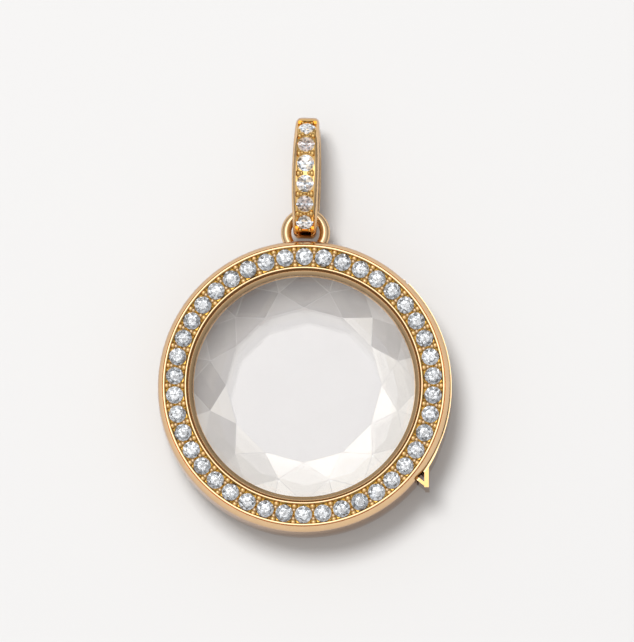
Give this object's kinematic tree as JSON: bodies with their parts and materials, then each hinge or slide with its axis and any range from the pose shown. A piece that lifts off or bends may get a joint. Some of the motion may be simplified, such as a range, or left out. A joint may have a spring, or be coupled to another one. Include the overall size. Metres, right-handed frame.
{
  "type": "floating locket",
  "caption": "Round hollow pendant locket: clear faceted crystal front and back, a row of small set stones round the front, a side door with a V tongue, and an oval stone-set bail.",
  "frame": {"origin": "centre of the footprint, on the surface that the locket lies on", "axes": "+Z out of the front face, +Y from the case towards the bail, +X to the right seen from the front, on the side of the door"},
  "size_m": [0.0222, 0.0318, 0.0068],
  "materials": {
    "gold": "polished yellow gold, 18 carat",
    "crystal": "clear faceted rock crystal, polished",
    "stone": "colourless brilliant-cut stones"
  },
  "bodies": {
    "locket": {"case": "gold", "front_crystal": "crystal", "back_crystal": "crystal", "bezel_stones": "stone", "hinge_pin": "gold", "bail": "gold", "bail_stone_1": "stone", "bail_stone_2": "stone", "bail_stone_3": "stone", "bail_stone_4": "stone", "bail_stone_5": "stone", "bail_stone_6": "stone"},
    "door": {"gate": "gold"}
  },
  "joints": [
    {"name": "gate_hinge", "type": "hinge", "parent": "locket", "child": "door", "pos_m": [0.00723, 0.00296, 0.0034], "axis": [0, 0, 1], "range_deg": [0, 75]}
  ]
}
